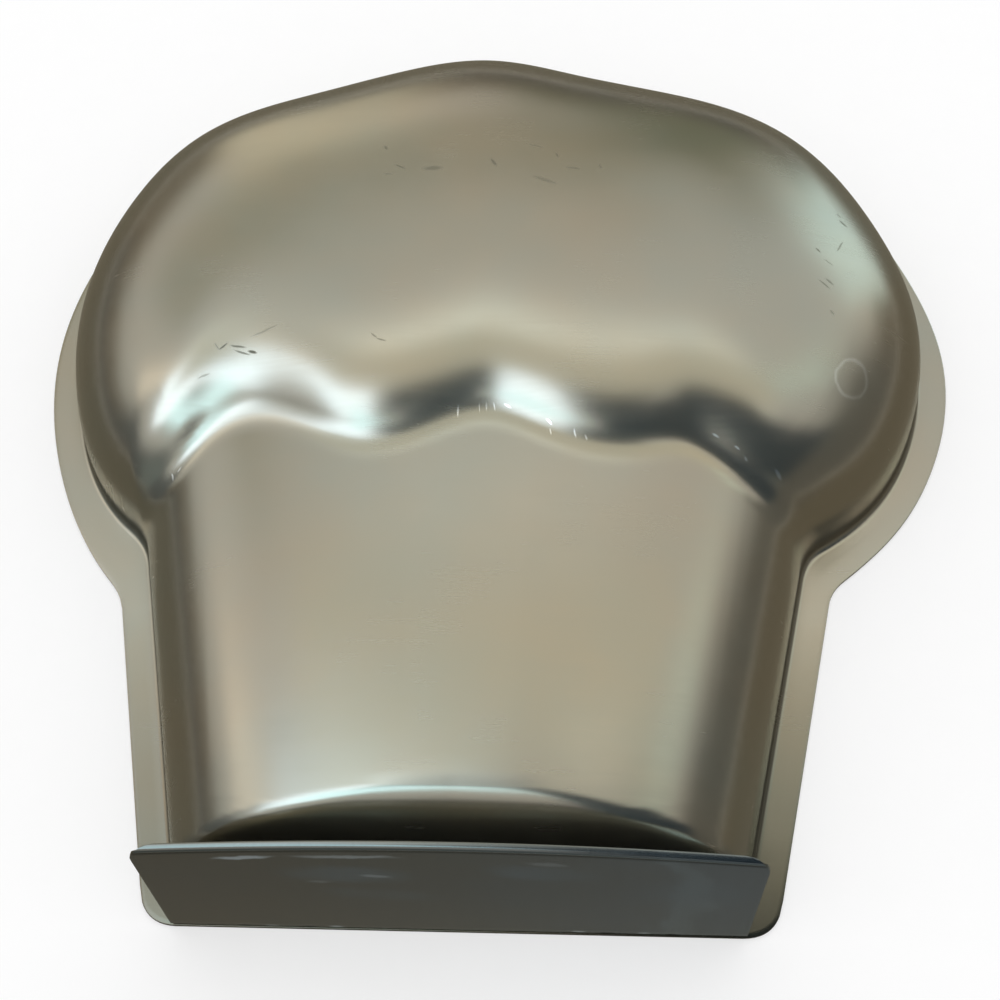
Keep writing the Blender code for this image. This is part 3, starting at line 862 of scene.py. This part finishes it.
# The studio, in metres. Its dome, its two canopies and its table show only in the metal.
# A card on the dome: bearing from the back wall, clockwise seen from above, height over
# the table, width, height and soft edge in degrees, and level. A card on a flat sheet:
# place, turn in degrees, width, depth, soft edge and level
studio = {
    "domeRadius": 3.0,
    "domeParts": (240, 120),
    "domeLevel": (1.0, 1.0, 1.0),
    "domeCards": (
        (0, 5, 360, 30, 6, (0.25, 0.21, 0.15)),
        (-133, 17, 118, 57, 18, (0.15, 0.17, 0.18)),
        (-84, -3, 86, 28, 8, (0.1, 0.1, 0.1)),
        (-2, 1, 64, 28, 10, (0.1, 0.1, 0.09)),
        (112, 15, 110, 56, 16, (0.17, 0.175, 0.165)),
        (184, 6, 76, 56, 10, (0.27, 0.32, 0.33)),
        (129, 45, 58, 38, 7, (0.12, 0.22, 0.3)),
        (-6, 75, 224, 42, 15, (2.05, 2.16, 2.14)),
        (-20, 37, 72, 23, 6, (0.64, 0.62, 0.52)),
        (-20, 18, 24, 30, 5, (1.27, 1.2, 1.0)),
        (15, 23, 34, 36, 11, (0.28, 0.32, 0.24)),
        (42, 16, 25, 31, 4, (1.6, 2.0, 2.1)),
        (-74, 52, 20, 50, 7, (2.0, 1.85, 1.7)),
        (66, 52, 18, 32, 5, (1.3, 1.52, 1.45)),
    ),
    "canopy": {
        "height": 0.7, "size": 2.6, "parts": 200,
        "cards": (
            (-0.34, -0.13, -5, 0.48, 0.5, 0.07, (3.4, 4.0, 4.9)),
            (0.12, -0.12, 0, 0.46, 0.36, 0.1, (0.03, 0.05, 0.07)),
            (0.02, 0.06, 0, 0.2, 0.38, 0.12, (0.07, 0.07, 0.09)),
        ),
    },
    "lowCanopy": {
        "height": 0.3, "size": 1.4, "parts": 200,
        "cards": (
            (0.02, 0.03, 0, 0.46, 0.15, 0.05, (1.15, 1.12, 0.98)),
            (-0.09, -0.16, -40, 0.2, 0.11, 0.025, (2.5, 3.6, 4.3)),
            (0.275, -0.275, -3, 0.52, 0.46, 0.02, (0.02, 0.05, 0.08)),
        ),
    },
    "table": {
        "height": -0.00015, "size": 2.4, "parts": 100,
        "cards": (
            (0.0, 0.0, 0, 2.4, 2.4, 0.6, (0.21, 0.19, 0.14)),
            # The second card is a painted shadow on the table in front of the foot
            (0.0, -0.225, 0, 0.7, 0.22, 0.05, (0.15, 0.15, 0.14)),
        ),
    },
}

# The paper floor. A share of it is its own white for the camera, so that the background is
# white and the object's shadow stays
paper = {
    "size": 6.0,
    "drop": 0.0003,
    "colour": (1.0, 1.0, 1.0),
    "fibre": (0.985, 0.985, 0.985),
    "fibreScale": 90.0,
    "roughness": 0.9,
    "white": 0.5,
}


def softEdge(share, size, soft):
    t = np.clip(np.minimum(share, 1 - share) * size / soft, 0.0, 1.0)
    return t * t * (3 - 2 * t)


def layCard(across, up, wide, high, soft):
    side = 1.0 if wide >= 360 else softEdge(across / wide + 0.5, wide, soft)
    return (side * softEdge(up / high + 0.5, high, soft))[:, None]


def domeGlow(points):
    level = np.ones((len(points), 4)) * (*studio["domeLevel"], 1.0)
    bearing = np.degrees(np.arctan2(points[:, 0], points[:, 1]))
    height = np.degrees(np.arcsin(np.clip(points[:, 2] / studio["domeRadius"], -1, 1)))
    for turn, tilt, wide, high, soft, glow in studio["domeCards"]:
        cover = layCard((bearing - turn + 180) % 360 - 180, height - tilt, wide, high, soft)
        level = level * (1 - cover) + cover * (*glow, 1.0)
    return level


def flatGlow(points, cards):
    level = np.zeros((len(points), 4))
    for x, y, turn, wide, deep, soft, glow in cards:
        a = math.radians(turn)
        gap = points[:, :2] - (x, y)
        across = gap @ (math.cos(a), math.sin(a))
        along = gap @ (-math.sin(a), math.cos(a))
        cover = layCard(across, along, wide, deep, soft)
        level = level * (1 - cover) + cover * (*glow, 1.0)
    level[:, :3] /= np.maximum(level[:, 3:], 0.001)
    return level


def glowing(name):
    material, tree, shader = newTree(name)
    tree.nodes.remove(shader)
    level = put(tree, "ShaderNodeAttribute", attribute_name="glow").node
    light = put(tree, "ShaderNodeEmission", {"Color": level.outputs["Color"], "Strength": 1.0})
    clear = put(tree, "ShaderNodeBsdfTransparent")
    mixed = put(tree, "ShaderNodeMixShader", {0: level.outputs["Alpha"], 1: clear, 2: light})
    tree.links.new(mixed, tree.nodes["Material Output"].inputs["Surface"])
    return material


def onlyInMetal(name, glowOf):
    card = bpy.context.object
    card.name = name
    bpy.ops.object.transform_apply(location=True, rotation=True, scale=True)
    points = np.empty(len(card.data.vertices) * 3)
    card.data.vertices.foreach_get("co", points)
    glow = card.data.attributes.new("glow", "FLOAT_COLOR", "POINT")
    glow.data.foreach_set("color", glowOf(points.reshape(-1, 3)).ravel())
    card.data.materials.append(glowing(name))
    card.visible_camera = False
    card.visible_diffuse = False
    card.visible_shadow = False
    card.select_set(False)


def makeStudio():
    segments, rings = studio["domeParts"]
    bpy.ops.mesh.primitive_uv_sphere_add(segments=segments, ring_count=rings,
                                         radius=studio["domeRadius"])
    onlyInMetal("dome", domeGlow)
    for name in ("canopy", "lowCanopy", "table"):
        sheet = studio[name]
        bpy.ops.mesh.primitive_grid_add(x_subdivisions=sheet["parts"],
                                        y_subdivisions=sheet["parts"], size=sheet["size"],
                                        location=(0, 0, sheet["height"]))
        onlyInMetal(name, lambda points: flatGlow(points, sheet["cards"]))


def makeFloor():
    bpy.ops.mesh.primitive_plane_add(size=paper["size"], location=(0, 0, -paper["drop"]))
    floor = bpy.context.object
    floor.name = "floor"
    material, tree, shader = newTree("floorPaper")
    fibre = noise(tree, onObject(tree), paper["fibreScale"], 4.0)
    white = blend(tree, fibre, (*paper["colour"], 1), (*paper["fibre"], 1))
    tree.links.new(white, shader.inputs["Base Color"])
    shader.inputs["Roughness"].default_value = paper["roughness"]
    light = put(tree, "ShaderNodeEmission", {"Color": white, "Strength": 1.0})
    seen = put(tree, "ShaderNodeLightPath").node.outputs["Is Camera Ray"]
    share = calc(tree, "MULTIPLY", seen, paper["white"])
    mixed = put(tree, "ShaderNodeMixShader", {0: share, 1: shader.outputs[0], 2: light})
    tree.links.new(mixed, tree.nodes["Material Output"].inputs["Surface"])
    floor.data.materials.append(material)
    floor.select_set(False)


def makeWorld():
    world = bpy.data.worlds.new("studio")
    bpy.context.scene.world = world
    world.use_nodes = True
    white = world.node_tree.nodes["Background"]
    white.inputs["Color"].default_value = (1, 1, 1, 1)
    white.inputs["Strength"].default_value = 1.0


makeStudio()
makeFloor()
makeWorld()
print("studio: dome, canopy, lowCanopy, table and floor")

bpy.context.scene.view_settings.view_transform = "Standard"
